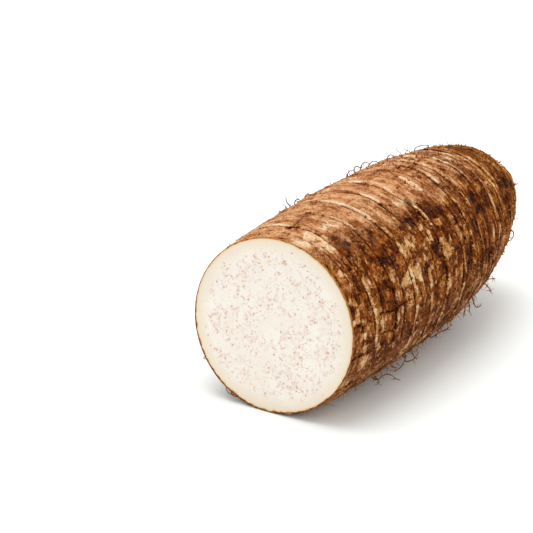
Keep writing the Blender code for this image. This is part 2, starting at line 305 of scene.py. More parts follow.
# Marks made up by chance: places and lengths in mm, turns in degrees
madeUp = {
    "pale": {"count": 120, "place": (0, 235), "turn": (118, 318), "along": (3, 14), "around": (5, 20),
             "strength": (0.3, 0.7)},
    "dark": {"count": 70, "place": (0, 235), "turn": (118, 318), "along": (4, 16), "around": (6, 24),
             "strength": (0.3, 0.8)},
    "crack": {"count": 46, "place": (0, 215), "turn": (118, 318), "along": (12, 50), "around": (-6, 6),
              "strength": (0.4, 0.9)},
    "notch": {"stop": 350, "gap": (9, 34), "around": (-2, 2), "strength": (0.2, 0.65)},
    "edge": {"start": 122, "stop": 312, "end": 316, "gap": (2, 26), "around": (5, 30),
             "strength": (0.35, 0.9), "width": (1.2, 2.8)},
    "fineEdge": {"turn": (0, 30), "stop": 355, "gap": (4, 40), "around": (4, 22),
                 "strength": (0.3, 0.7), "width": (0.9, 1.8)},
    "pit": {"count": 90, "place": (4, 240), "turn": (0, 360), "width": (0.5, 1.1), "depth": 0.8},
}


def rowDistances():
    tests = np.linspace(0, skinLength - skin["tipGap"], skin["rowTests"])
    edges = [0, *(scar * mm for scar in scars), skinLength - form["endScarRadius"]]
    near = np.max([bell(tests - edge - skin["finePlace"], skin["fineWidth"]) for edge in edges], axis=0)
    density = 1 / (skin["rowWide"] - (skin["rowWide"] - skin["rowFine"]) * near)
    count = np.concatenate([[0], np.cumsum((density[1:] + density[:-1]) / 2)])
    return np.interp(np.linspace(0, count[-1], skin["rows"]), count, tests)


# A closed mesh spun round the Y axis from a line of points, and the vertex in each row and column.
# The first and the last point are on the axis
def spunGrid(pointCount, columns):
    work = bmesh.new()
    line = work.edges.new([work.verts.new((1.0, y, 0.0)) for y in (0.0, pointCount - 1.0)])
    bmesh.ops.subdivide_edges(work, edges=[line], cuts=pointCount - 2)
    for vertex in work.verts:
        if round(vertex.co.y) in (0, pointCount - 1):
            vertex.co.x = 0.0
    bmesh.ops.spin(work, geom=work.verts[:] + work.edges[:], axis=(0, 1, 0), cent=(0, 0, 0), angle=math.tau,
                   steps=columns, use_merge=True)
    bmesh.ops.remove_doubles(work, verts=work.verts, dist=0.001)
    bmesh.ops.recalc_face_normals(work, faces=work.faces)
    work.verts.index_update()
    grid = np.zeros((pointCount, columns), int)
    for vertex in work.verts:
        row = round(vertex.co.y)
        if row in (0, pointCount - 1):
            grid[row, :] = vertex.index
        else:
            turn = math.atan2(vertex.co.z, vertex.co.x) / math.tau
            grid[row, round(turn * columns) % columns] = vertex.index
    return work, grid


# 1 at 0, falling away over a width
def bell(away, width):
    return np.exp(-((away / width) ** 2))


# Soft-edged window: 1 between low and high, 0 outside, fading over soft
def window(values, low, high, soft):
    rise = np.clip((values - low) / soft + 0.5, 0, 1)
    fall = np.clip((high - values) / soft + 0.5, 0, 1)
    return rise * rise * (3 - 2 * rise) * fall * fall * (3 - 2 * fall)


# Degrees from one angle to another, the short way
def turnTo(turns, centre):
    return (turns - centre + 180) % 360 - 180


# The same window round the root, from one angle to another
def sector(turns, low, high, soft):
    half = (high - low) / 2
    return window(turnTo(turns, low + half), -half, half, soft)


distances = rowDistances()
angles = np.arange(skin["columns"]) * math.tau / skin["columns"]
ringDistance, theta = np.meshgrid(distances, angles, indexing="ij")
degrees = np.degrees(theta)


# How far the solid's rings stray from a flat cut at each distance and angle
def solidStray(distance, angle):
    toEnd = np.maximum(0, skinLength - distance)
    lean = form["ringLean"] * (1 - np.exp(-distance / form["ringLeanRise"]))
    lean = lean * np.minimum(1, toEnd / form["ringLeanFall"])
    fade = np.minimum(1, distance / form["wanderRise"]) * np.minimum(1, toEnd / form["wanderFall"])
    turns = form["wanderTurns"]
    where = np.stack([turns * np.cos(angle), turns * np.sin(angle), distance / form["wanderLength"]], -1)
    return form["ringWander"] * fade * noiseOver(where) - lean * (1 - np.cos(angle - form["ringSide"]))


# How far each ring lies from its course on the solid, where it was measured, in metres
def courseShift(scar, turns):
    side = turnTo(turns, seenSide)
    usual = np.interp(side, *zip(*usualShift))
    if scar not in ringCourses:
        return usual * mm
    courseTurns, coursePlaces = np.array(ringCourses[scar], float).T
    at = turnTo(courseTurns, seenSide)
    solid = scar * mm + solidStray(np.full(len(at), scar * mm), np.radians(courseTurns))
    measured = np.interp(side, at, coursePlaces - skin["edgePlace"] - solid / mm)
    trust = window(side, at.min() - courseMargin, at.max() + courseMargin, courseFade)
    return (trust * measured + (1 - trust) * usual) * mm


noShift = np.zeros(skin["columns"])
shifts = np.array([noShift, *(courseShift(scar, np.degrees(angles)) for scar in scars), noShift])
shifts[-settledRings:] *= np.linspace(1, 0, settledRings)[:, None]
shiftPlaces = np.array([0, *scars, skinLength / mm]) * mm
ringShift = np.stack([np.interp(distances, shiftPlaces, column) for column in shifts.T], 1)
bodyDistance = ringDistance + solidStray(ringDistance, theta) + ringShift
share = shareAt(np.clip(bodyDistance, 0, skinLength))
share[0] = 0
radius = np.interp(share, shareSteps, radiusSteps) / mm
ringMM = ringDistance / mm
bodyMM = bodyDistance / mm
growth = np.stack([radius * np.cos(theta), radius * np.sin(theta), ringMM], -1)      # mm
print("skin laid out")


# Noise over the skin, with blobs of this size in mm and drawn out round the root
def skinNoise(size, shift=0, octaves=1, drawnOut=1):
    return noiseOver(growth / (size * np.array([drawnOut, drawnOut, 1.0])) + shift, octaves)


# Noise that depends on the angle more than on the width of the root there
def wheelNoise(turns, length, shift=0):
    return noiseOver(np.stack([turns * np.cos(theta), turns * np.sin(theta), ringMM / length + shift], -1))


def draw(kind, value):
    return chance.uniform(*madeUp[kind][value])


# Rows of (place, turn, place, turn, strength) by chance
def madeUpMarks(kind):
    marks = []
    for k in range(madeUp[kind]["count"]):
        place = draw(kind, "place")
        turn = draw(kind, "turn")
        toPlace = place + draw(kind, "along")
        toTurn = turn + draw(kind, "around")
        marks.append((place, turn, toPlace, toTurn, draw(kind, "strength")))
    return marks


# The same marks, in the order of the pale and dark places
def madeUpPatches(kind):
    return [(place, toPlace, turn, toTurn, strength)
            for place, turn, toPlace, toTurn, strength in madeUpMarks(kind)]


# Bright parts of a ring's edge on the hidden sides, or all round where none was measured
def hiddenEdges(start):
    made = madeUp["edge"]
    parts = []
    while start < made["stop"]:
        start += draw("edge", "gap")
        end = start + draw("edge", "around")
        parts.append((start, min(end, made["end"]), draw("edge", "strength"), draw("edge", "width")))
        start = end
    return tuple(parts)


# Notches that break the band between two rings into blocks
def notches(before, after):
    made = []
    turn = 0
    while turn < madeUp["notch"]["stop"]:
        turn += draw("notch", "gap")
        toTurn = turn + draw("notch", "around")
        made.append((before, turn, after, toTurn, draw("notch", "strength")))
    return made


def fineEdges():
    parts = []
    turn = draw("fineEdge", "turn")
    while turn < madeUp["fineEdge"]["stop"]:
        end = turn + draw("fineEdge", "around")
        parts.append((turn, end, draw("fineEdge", "strength"), draw("fineEdge", "width")))
        turn = end + draw("fineEdge", "gap")
    return tuple(parts)


edgeParts = {}
for scar in scars:
    measured = creamEdges.get(scar, ())
    edgeParts[scar] = measured + hiddenEdges(madeUp["edge"]["start"] if measured else 0)
madeUpPale = madeUpPatches("pale")
madeUpDark = madeUpPatches("dark")
cracksDrawn = [*longCracks, *madeUpMarks("crack")]
bandEdges = [0, *scars]
for before, after in zip(bandEdges, bandEdges[1:]):
    cracksDrawn += notches(before, after)

wobbleAlong = 1.6 * skinNoise(5.0, 0, 3)          # mm
wobbleAround = 2.6 * skinNoise(6.0, 31, 3)        # degrees


def paint(places):
    mask = np.zeros_like(degrees)
    for low, high, fromTurn, toTurn, strength in places:
        inSector = sector(degrees + wobbleAround, fromTurn, toTurn, 5)
        inBand = window(bodyMM + wobbleAlong, low, high, 2.2)
        mask = np.maximum(mask, strength * (inSector * inBand))
    return mask


pale = paint([*palePlaces, *madeUpPale])
dark = paint([*darkPlaces, *madeUpDark])
sooty = paint(sootyPlaces)
print("patches painted")

fineScars = [start + skin["fineRingShare"] * (end - start) for start, end in zip(bandEdges, bandEdges[1:])
             if end - start > skin["fineRingGap"]]
for scar in fineScars:
    edgeParts[scar] = fineEdges()

cream = np.zeros_like(degrees)
tatter = skinNoise(1.1, 5, 2, skin["fibreLength"])
for scar, parts in edgeParts.items():
    away = ringMM - scar - skin["edgePlace"] + 0.35 * skinNoise(3.0, scar)
    if scar in scars:                                       # a fainter line joins the bright parts
        cream = np.maximum(cream, skin["faintEdge"] * bell(away, 0.8))
    for fromTurn, toTurn, strength, width in parts:
        cream = np.maximum(cream, strength * sector(degrees, fromTurn, toTurn, 4) * bell(away, 0.5 * width))
cream = np.clip(cream * (1 + 0.45 * tatter), 0, 1)

# Long fine arcs between the rings, where this passes through 0
arcs = skinNoise(skin["arcSpacing"], 91, 2, 1 / skin["arcSqueeze"])
banded = window(bodyMM, skin["bandStart"], skin["tail"], skin["bandFade"])

# Behind each ring of the flank lies a row of flakes
onFlank = sector(degrees, -50, 55, 20)
for scar in scars[:-5]:
    behind = window(ringMM - scar + 0.8 * tatter, 0.8, 5.5, 1.5)
    pale = np.maximum(pale, skin["flakeRow"] * behind * onFlank)

cracks = np.zeros_like(degrees)
crackWander = 1.5 * wheelNoise(3, 9)              # degrees
for fromPlace, fromTurn, toPlace, toTurn, strength in cracksDrawn:
    part = np.clip((bodyMM - fromPlace) / (toPlace - fromPlace), 0, 1)
    away = np.radians(turnTo(degrees + crackWander, fromTurn + part * (toTurn - fromTurn))) * radius
    ends = window(bodyMM, fromPlace, toPlace, 3)
    cracks = np.maximum(cracks, strength * ends * bell(away, skin["crackWidth"]))
cracks *= np.clip(0.85 + 1.1 * skinNoise(3.0, 77, 2), 0.1, 1.15)


def pitAt(place, turn, width):
    return bell(np.hypot(bodyMM - place, np.radians(turnTo(degrees, turn)) * radius), width)


holes = np.zeros_like(degrees)
for place, turn, width in pits:
    holes = np.maximum(holes, pitAt(place, turn, width))
for k in range(madeUp["pit"]["count"]):
    place = draw("pit", "place")
    turn = draw("pit", "turn")
    holes = np.maximum(holes, madeUp["pit"]["depth"] * pitAt(place, turn, draw("pit", "width")))
print("edges, cracks and pits drawn")

# Rings: a small lip, the groove, then the bright edge of the next band. Some parts are bolder than others
bold = np.clip(0.8 + 1.1 * wheelNoise(1.6, 16, 40), 0.25, 1.3)
rings = np.zeros_like(degrees)
grooves = np.zeros_like(degrees)
for scar, size in [(scar, 1.0) for scar in scars] + [(scar, skin["fineRing"]) for scar in fineScars]:
    away = ringMM - scar + 0.3 * tatter
    lip = bell(away - skin["lipPlace"], skin["lipWidth"])
    groove = bell(away, skin["grooveWidth"])
    edge = bell(away - skin["edgePlace"], skin["edgeWidth"])
    rings += size * (skin["lip"] * lip - skin["groove"] * groove + skin["edge"] * edge)
    grooves = np.maximum(grooves, size * groove)

fibre = skinNoise(0.9, 11, 3, skin["fibreLength"])
grain = skinNoise(1.8, 23, 3)
blotch = skinNoise(7.0, 51, 3, 2)
fromCut = np.minimum(1, ringMM / 4)
offStrip = np.minimum(1, (1 + np.sin(theta)) / 0.05)
fine = skin["fibre"] * (0.6 + 0.6 * banded) * fibre + skin["grain"] * grain + skin["blotch"] * blotch
fine += skin["arcRidge"] * (1 + banded) * bell(arcs, skin["arcWidth"]) - skin["pitDepth"] * holes
relief = rings * bold * (1 + 0.6 * banded) + skin["creamLift"] * cream
relief += fromCut * fine - skin["crackDepth"] * cracks
relief *= offStrip * (0.25 + 0.75 * fromCut)
endPlace = (ringDistance - (skinLength - form["endScarRadius"])) / form["endScarRadius"]
endRelief = np.interp(endPlace, *zip(*skin["endScar"])) + 0.35 * relief * offStrip
relief = np.where(endPlace > skin["endScar"][0][0], endRelief, relief)
surface, _ = bodyPoints(share, theta, ringDistance, relief * mm)
print("skin shaped")


# A point of the finished skin, from mm along it and degrees round it
def skinAt(place, turn):
    row = min(np.interp(place * mm, distances, np.arange(len(distances))), len(distances) - 1.001)
    column = turn / 360 * skin["columns"] % skin["columns"]
    r, c = int(row), int(column)
    nextColumn = (c + 1) % skin["columns"]
    dr, dc = row - r, column - c
    near = surface[r, c] * (1 - dc) + surface[r, nextColumn] * dc
    far = surface[r + 1, c] * (1 - dc) + surface[r + 1, nextColumn] * dc
    return Vector(near * (1 - dr) + far * dr)


def skinFacing(place, turn):
    return Vector(outward(shareAt(np.array(place * mm)), np.array(math.radians(turn))))


# The cut face: a point at this share of the way from its middle to the skin, and this deep under it
def cutPoints(reach, angle, deep):
    across = cutRadius * np.cos(angle) * reach
    up = cutRadius * np.sin(angle) * reach
    along = -form["originFromCut"] + form["cutLean"] * up + form["cutTurn"] * across + deep
    return np.stack([across, along, cutRadius + up], -1)


# The skin shows as a thin rim round the cut, thicker underneath
def rimReach(angle):
    wavers = skin["rimWavers"]
    waver = noiseOver(np.stack([wavers * np.cos(angle), wavers * np.sin(angle), 0 * angle], -1), 2)
    under = np.clip(-np.sin(angle + 0.5), 0, 1)
    return 1 - skin["rimWidth"] * (0.75 + 0.35 * waver + under * (0.9 + 0.9 * waver)) / cutRadius


def putMesh(work, name):
    mesh = bpy.data.meshes.new(name)
    work.to_mesh(mesh)
    work.free()
    mesh.shade_smooth()
    piece = bpy.data.objects.new(name, mesh)
    bpy.context.scene.collection.objects.link(piece)
    return piece


def setPoints(piece, grid, points):
    places = np.zeros((len(piece.data.vertices), 3))
    places[grid] = points
    piece.data.vertices.foreach_set("co", places.ravel())
    piece.data.update()


# A value for each vertex, or a vector, for the materials to read
def addMask(piece, grid, name, values):
    data = np.zeros((len(piece.data.vertices), *values.shape[2:]))
    data[grid] = values
    kind, field = ("FLOAT_VECTOR", "vector") if values.ndim == 3 else ("FLOAT", "value")
    piece.data.attributes.new(name, kind, "POINT").data.foreach_set(field, data.ravel())


def buildSkin():
    work, grid = spunGrid(len(distances) + 4, skin["columns"])
    piece = putMesh(work, "malangaSkin")
    rim = rimReach(angles)
    inner = [cutPoints(0 * rim, angles, skin["recess"]), cutPoints(rim, angles, skin["recess"]),
             cutPoints(rim, angles, 0)]
    tip = np.broadcast_to(surface[-1].mean(0), surface[-1].shape)
    setPoints(piece, grid, np.stack([*inner, *surface, tip]))

    onRim = np.stack([rim * cutRadius * np.cos(angles), rim * cutRadius * np.sin(angles), 0 * rim], -1) / mm
    addMask(piece, grid, "growth", np.stack([onRim, onRim, onRim, *growth, growth[-1]]))
    # The crack mask also darkens each ring groove, more on the flank: painted shade in the grooves, beside the
    # real cracks and pits
    lowFlank = sector(degrees, -75, 45, 30)
    cracksAndGrooveShade = np.maximum(cracks, grooves * (0.8 + 0.3 * lowFlank) * bold)
    # The top gets its own pinker bark, and the lighter bark there is also painted light from the lamp above
    topTintAndPaintedLight = sector(degrees + 7 * blotch, 58, 134, 22) * window(bodyMM + 9 * blotch, -40, 170, 90)
    masks = {                  # values on the skin, in the rim and at the tip
        "cream": (cream, 0, 0),
        "pale": (pale, 0, 0),
        "dark": (dark, 0, 0),
        "sooty": (sooty, 0, 0),
        "crack": (np.clip(cracksAndGrooveShade + holes, 0, 1), 0, 0),
        "arcs": (arcs, 1, 0),
        "banded": (banded, 0, 1),
        # painted light: the skin is made lighter towards the cut, where more light falls
        "nearCutPaintedLight": (window(bodyMM, -skin["tail"], 80, 90), 1, 0),
        "rim": (np.exp(-ringMM / (0.6 + 0.4 * np.sin(theta))), 1, 0),
        "topTintAndPaintedLight": (topTintAndPaintedLight * (1 - 0.8 * dark), 0, 0),
        "lowSide": (sector(degrees + 6 * blotch, -168, -5, 34), 0, 0),
        "farEnd": (window(bodyMM + 6 * blotch, 190, skin["tail"], 46), 0, 1),
        "endScar": (np.clip((endPlace + 0.1) * 4, 0, 1), 0, 1),
    }
    row = np.ones((1, skin["columns"]))
    for name, (values, inRim, atTip) in masks.items():
        addMask(piece, grid, name, np.concatenate([inRim * row] * 3 + [values, atTip * row]))
    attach(piece, "root")
    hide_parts("malanga_root")
    print("skin built:", len(piece.data.polygons), "faces")
    return piece


# Short ways to add nodes. Each takes a socket or a number and gives back a socket
def addNode(tree, kind, inputs=None, **settings):
    node = tree.nodes.new(kind)
    for name, value in settings.items():
        setattr(node, name, value)
    for name, value in (inputs or {}).items():
        if isinstance(value, bpy.types.NodeSocket):
            tree.links.new(value, node.inputs[name])
        else:
            node.inputs[name].default_value = value
    return node


def sums(tree, operation, a, b=0.0):
    return addNode(tree, "ShaderNodeMath", {0: a, 1: b}, operation=operation).outputs[0]


# The product of two masks
def both(tree, a, b):
    return sums(tree, "MULTIPLY", a, b)


# A value raised where a mask says, or lowered by a negative amount
def raised(tree, value, mask, amount, clamp=False):
    inputs = {0: mask, 1: amount, 2: value}
    return addNode(tree, "ShaderNodeMath", inputs, operation="MULTIPLY_ADD", use_clamp=clamp).outputs[0]


# A pattern less its middle, times a weight
def swing(tree, pattern, weight=1.0):
    return raised(tree, -0.5 * weight, pattern, weight)


# A value made ragged by patterns, each with its weight
def ragged(tree, value, *patterns):
    for pattern, weight in patterns:
        value = sums(tree, "ADD", value, swing(tree, pattern, weight))
    return value


def stretch(tree, value, low, high, toLow=0.0, toHigh=1.0, kind="SMOOTHSTEP"):
    inputs = {"Value": value, "From Min": low, "From Max": high, "To Min": toLow, "To Max": toHigh}
    return addNode(tree, "ShaderNodeMapRange", inputs, interpolation_type=kind).outputs[0]


def mixColours(tree, factor, a, b):
    return addNode(tree, "ShaderNodeMix", {0: factor, 6: a, 7: b}, data_type="RGBA").outputs[2]


def noiseNode(tree, place, scale, detail=3.0, roughness=0.6, distortion=0.0, output="Fac"):
    inputs = {"Vector": place, "Scale": scale, "Detail": detail, "Roughness": roughness,
              "Distortion": distortion}
    return addNode(tree, "ShaderNodeTexNoise", inputs).outputs[output]


# Places squeezed round the root, which draws a pattern out there, and moved to another part of it
def squeezed(tree, place, squeeze, shift):
    inputs = {0: place, 1: (squeeze, squeeze, 1.0), 2: (shift, shift, shift)}
    return addNode(tree, "ShaderNodeVectorMath", inputs, operation="MULTIPLY_ADD").outputs[0]


def colourRamp(tree, factor, stops):
    node = addNode(tree, "ShaderNodeValToRGB", {0: factor})
    ramp = node.color_ramp
    while len(ramp.elements) < len(stops):
        ramp.elements.new(0.5)
    for element, (place, colour) in zip(ramp.elements, stops):
        element.position = place
        element.color = (*colour, 1.0)
    return node.outputs[0]


def readMask(tree, name, output="Fac"):
    return addNode(tree, "ShaderNodeAttribute", attribute_name=name).outputs[output]


# Three numbers of its own for each cell of a pattern, and the distance from its middle
def cells(tree, place, scale, **settings):
    node = addNode(tree, "ShaderNodeTexVoronoi", {"Vector": place, "Scale": scale}, **settings)
    numbers = addNode(tree, "ShaderNodeSeparateColor", {0: node.outputs["Color"]}).outputs
    return numbers, node.outputs["Distance"]


def newMaterial(name):
    material = bpy.data.materials.new(name)
    material.use_nodes = True
    return material, material.node_tree, material.node_tree.nodes["Principled BSDF"]


def addBump(tree, shader, height, strength, distance):
    inputs = {"Strength": strength, "Distance": distance, "Height": height}
    tree.links.new(addNode(tree, "ShaderNodeBump", inputs).outputs[0], shader.inputs["Normal"])


# Fibres round the root and specks between them, for each brown surface
def makeFibreGrain():
    group = bpy.data.node_groups.new("fibreGrain", "ShaderNodeTree")
    group.interface.new_socket("Place", in_out="INPUT", socket_type="NodeSocketVector")
    group.interface.new_socket("Scale", in_out="INPUT", socket_type="NodeSocketFloat")
    group.interface.new_socket("Length", in_out="INPUT", socket_type="NodeSocketFloat")
    group.interface.new_socket("Fibres", in_out="OUTPUT", socket_type="NodeSocketFloat")
    group.interface.new_socket("Specks", in_out="OUTPUT", socket_type="NodeSocketFloat")
    inside = group.nodes.new("NodeGroupInput").outputs
    outside = group.nodes.new("NodeGroupOutput").inputs
    squeeze = sums(group, "DIVIDE", 1.0, inside["Length"])
    along = addNode(group, "ShaderNodeCombineXYZ", {0: squeeze, 1: squeeze, 2: 1.0}).outputs[0]
    inputs = {0: inside["Place"], 1: along}
    drawnOut = addNode(group, "ShaderNodeVectorMath", inputs, operation="MULTIPLY").outputs[0]
    group.links.new(noiseNode(group, drawnOut, inside["Scale"], 6.0, 0.74), outside["Fibres"])
    group.links.new(noiseNode(group, inside["Place"], inside["Scale"], 5.0, 0.78), outside["Specks"])
    return group


fibreGrain = makeFibreGrain()

# Colours of the bark by how light it is, from 0 in a crack to 1 on a cream edge
barkRamps = {
    "flank": ((0.0, (0.012, 0.002, 0.000)), (0.18, (0.065, 0.011, 0.001)), (0.34, (0.14, 0.028, 0.002)),
              (0.44, (0.27, 0.066, 0.005)), (0.55, (0.43, 0.130, 0.015)), (0.68, (0.57, 0.23, 0.055)),
              (0.82, (0.72, 0.38, 0.14)), (1.0, (0.85, 0.58, 0.32))),
    "lowSide": ((0.0, (0.012, 0.003, 0.001)), (0.18, (0.065, 0.014, 0.002)), (0.34, (0.15, 0.040, 0.006)),
                (0.46, (0.25, 0.080, 0.021)), (0.58, (0.38, 0.140, 0.047)), (0.72, (0.54, 0.25, 0.100)),
                (1.0, (0.76, 0.47, 0.24))),
    # the top: its own pinker tint, made lighter still as painted light from above
    "topTintAndPaintedLight": ((0.0, (0.035, 0.007, 0.001)), (0.14, (0.17, 0.042, 0.007)), (0.28, (0.43, 0.155, 0.046)),
                (0.42, (0.67, 0.300, 0.124)), (0.60, (0.78, 0.420, 0.205)), (0.78, (0.91, 0.62, 0.37)),
                (1.0, (1.00, 0.79, 0.57))),
    "farEnd": ((0.0, (0.020, 0.004, 0.001)), (0.18, (0.090, 0.018, 0.001)), (0.34, (0.19, 0.048, 0.003)),
               (0.48, (0.36, 0.108, 0.009)), (0.64, (0.54, 0.195, 0.028)), (0.80, (0.66, 0.30, 0.070)),
               (1.0, (0.80, 0.48, 0.19))),
}
barkStains = {                 # how strong, and the colour
    "rust": (0.55, (0.33, 0.072, 0.005, 1.0)),
    "ash": (0.40, (0.085, 0.062, 0.054, 1.0)),
    "soot": (0.75, (0.050, 0.038, 0.038, 1.0)),
    "pores": (0.85, (0.012, 0.003, 0.001, 1.0)),
    "endScar": (0.80, (0.05, 0.02, 0.008, 1.0)),
}
barkNoise = {                  # squeeze, shift, scale, detail, roughness
    "threads": (0.12, 41.0, 1.6, 4.0, 0.65),
    "clouds": (0.6, 17.0, 0.15, 4.0, 0.62),
    "rustPlaces": (0.6, 63.0, 0.24, 5.0, 0.7),
    "ashPlaces": (0.5, 9.0, 0.22, 4.0, 0.6),
}
barkFlakes = {                 # squeeze, shift, scale, width of the gaps
    "wide": (0.80, 5.0, 0.30, 0.10),
    "small": (0.85, 29.0, 0.80, 0.13),
}
# Weights in the tone near the cut and towards the grown end
barkWeights = {
    "streaks": (0.45, 1.1),
    "flecks": (1.95, 1.8),
    "clouds": (1.15, 1.6),
    "flakes": (1.0, 0.3),
    "pale": (0.28, 0.10),
    "cream": (1.0, 0.6),
    "arcLine": (0.14, 0.34),
    "arcShade": (-0.08, -0.25),
}
bark = {
    "bendScale": 0.28,
    "bend": 3.6,               # mm
    "grainScale": 0.75,
    "fibreLength": 1.7,
    "plainTone": 0.437,
    "dark": -0.23,
    # how much lighter the skin is painted towards the cut, as painted light
    "nearCutPaintedLight": 0.06,
    "lowEnd": 0.06,
    "flakeGaps": -0.32,
    "cracks": -0.46,
    "topFlakes": 0.4,
    "rimGold": (0.66, 0.27, 0.055, 1.0),
    "rimBrown": (0.16, 0.045, 0.008, 1.0),
    "roughness": (0.86, 0.62),             # where dark, where light
    "gloss": 0.08,
    "bump": 0.9 * mm,
}


# Flakes with a tone of their own each, and the dark gaps between them
def flakes(tree, place, scale, gap):
    numbers, _ = cells(tree, place, scale)
    inputs = {"Vector": place, "Scale": scale}
    edge = addNode(tree, "ShaderNodeTexVoronoi", inputs, feature="DISTANCE_TO_EDGE")
    return numbers[0], stretch(tree, edge.outputs["Distance"], gap, 0.0)


# Marks in the middle of some cells of a pattern
def spots(tree, place, scale, share, size):
    numbers, distance = cells(tree, place, scale)
    return both(tree, stretch(tree, distance, size, 0.6 * size), sums(tree, "LESS_THAN", numbers[1], share))


# The masks of the skin and the patterns on it, by name
def barkPatterns(tree):
    masks = ("pale", "dark", "sooty", "cream", "crack", "arcs", "banded", "nearCutPaintedLight", "rim", "topTintAndPaintedLight",
             "lowSide", "farEnd", "endScar")
    on = {name: readMask(tree, name) for name in masks}
    smooth = readMask(tree, "growth", "Vector")
    bend = noiseNode(tree, smooth, bark["bendScale"], 5.0, 0.7, output="Color")
    inputs = {0: bend, 1: [bark["bend"]] * 3, 2: smooth}
    place = addNode(tree, "ShaderNodeVectorMath", inputs, operation="MULTIPLY_ADD").outputs[0]
    inputs = {"Place": place, "Scale": bark["grainScale"], "Length": bark["fibreLength"]}
    grain = addNode(tree, "ShaderNodeGroup", inputs, node_tree=fibreGrain)
    on["streaks"], on["flecks"] = grain.outputs["Fibres"], grain.outputs["Specks"]
    for name, (squeeze, shift, *pattern) in barkNoise.items():
        on[name] = noiseNode(tree, squeezed(tree, place, squeeze, shift), *pattern)
    for name, (squeeze, shift, scale, gap) in barkFlakes.items():
        on[name], on[name + "Gap"] = flakes(tree, squeezed(tree, place, squeeze, shift), scale, gap)
    on["pores"] = spots(tree, squeezed(tree, place, 0.7, 33.0), 0.50, 0.24, 0.26)
    return on


# How light the bark is
def barkTone(tree, on):
    weights = {name: stretch(tree, on["banded"], 0.0, 1.0, *ends) for name, ends in barkWeights.items()}
    blocky = both(tree, stretch(tree, on["topTintAndPaintedLight"], 0.0, 1.0, 1.0, bark["topFlakes"]), weights["flakes"])
    tone = bark["plainTone"]
    for name in ("streaks", "flecks", "clouds"):
        tone = raised(tree, tone, swing(tree, on[name]), weights[name])
    tone = raised(tree, tone, swing(tree, on["threads"], 0.6), on["banded"])
    tone = raised(tree, tone, ragged(tree, 0.0, (on["wide"], 0.28), (on["small"], 0.26)), blocky)
    tone = raised(tree, tone, on["dark"], bark["dark"])
    # Painted light: the skin is made lighter towards the cut
    tone = raised(tree, tone, on["nearCutPaintedLight"], bark["nearCutPaintedLight"])
    tone = raised(tree, tone, both(tree, on["lowSide"], on["banded"]), bark["lowEnd"])

    paleEdge = ragged(tree, on["pale"], (on["streaks"], 0.6), (on["flecks"], 1.4), (on["wide"], 0.75),
                      (on["clouds"], 0.7))
    paleEdge = sums(tree, "ADD", paleEdge, stretch(tree, blocky, bark["topFlakes"], 1.0, -0.14, 0.0))
    tone = raised(tree, tone, stretch(tree, paleEdge, 0.38, 0.50), weights["pale"])

    arcLine = stretch(tree, sums(tree, "ABSOLUTE", on["arcs"]), 0.10, 0.02)
    arcParts = raised(tree, ragged(tree, on["streaks"], (on["clouds"], 1.0)), on["banded"], 0.16)
    arcLine = both(tree, arcLine, stretch(tree, arcParts, 0.46, 0.56))
    arcShade = both(tree, stretch(tree, on["arcs"], 0.10, 0.16), stretch(tree, on["arcs"], 0.40, 0.24))
    tone = raised(tree, tone, arcLine, weights["arcLine"])
    tone = raised(tree, tone, arcShade, weights["arcShade"])

    # Cream edges are lifted more on the top, a painted highlight there
    creamEdge = raised(tree, ragged(tree, on["cream"], (on["streaks"], 0.6)), on["topTintAndPaintedLight"], 0.05)
    creamEdge = raised(tree, creamEdge, swing(tree, on["small"], 0.3), blocky)
    creamLift = both(tree, stretch(tree, on["topTintAndPaintedLight"], 0.0, 1.0, 0.33, 0.42), weights["cream"])
    tone = raised(tree, tone, stretch(tree, creamEdge, 0.36, 0.48), creamLift)

    gaps = sums(tree, "MAXIMUM", both(tree, on["wideGap"], 0.9), both(tree, on["smallGap"], 0.5))
    tone = raised(tree, tone, both(tree, gaps, stretch(tree, on["flecks"], 0.42, 0.58)), bark["flakeGaps"])
    # Cracks and pits darken the tone, and so does the painted shade in the ring grooves
    crackEdge = ragged(tree, on["crack"], (on["flecks"], 1.3), (on["small"], 0.25))
    return raised(tree, tone, stretch(tree, crackEdge, 0.28, 0.54), bark["cracks"], clamp=True)


def barkColour(tree, on, tone):
    colour = colourRamp(tree, tone, barkRamps["flank"])
    for name in ("lowSide", "topTintAndPaintedLight", "farEnd"):
        colour = mixColours(tree, on[name], colour, colourRamp(tree, tone, barkRamps[name]))
    on["rust"] = both(tree, stretch(tree, on["rustPlaces"], 0.50, 0.62), stretch(tree, tone, 0.80, 0.30))
    on["ash"] = stretch(tree, on["ashPlaces"], 0.60, 0.70)
    on["soot"] = stretch(tree, ragged(tree, on["sooty"], (on["flecks"], 2.6), (on["small"], 0.3)), 0.44, 0.85)
    for name, (strength, stain) in barkStains.items():
        colour = mixColours(tree, both(tree, on[name], strength), colour, stain)
    brownParts = stretch(tree, raised(tree, on["streaks"], on["lowSide"], 0.14), 0.46, 0.62)
    rimColour = mixColours(tree, brownParts, bark["rimGold"], bark["rimBrown"])
    rimEdge = stretch(tree, ragged(tree, on["rim"], (on["flecks"], 1.0)), 0.25, 0.60)
    return mixColours(tree, rimEdge, colour, rimColour)


def barkMaterial():
    material, tree, shader = newMaterial("malangaBark")
    on = barkPatterns(tree)
    tone = barkTone(tree, on)
    tree.links.new(barkColour(tree, on, tone), shader.inputs["Base Color"])
    tree.links.new(stretch(tree, tone, 0.1, 0.9, *bark["roughness"]), shader.inputs["Roughness"])
    shader.inputs["Specular IOR Level"].default_value = bark["gloss"]
    height = both(tree, tone, 0.45)
    for name, weight in (("streaks", 0.3), ("flecks", 0.8), ("pores", -0.3)):
        height = raised(tree, height, on[name], weight)
    height = raised(tree, height, on["threads"], both(tree, on["banded"], 0.3))
    addBump(tree, shader, height, 1.0, bark["bump"])
    return material


skinPiece = buildSkin()
skinPiece.data.materials.append(barkMaterial())

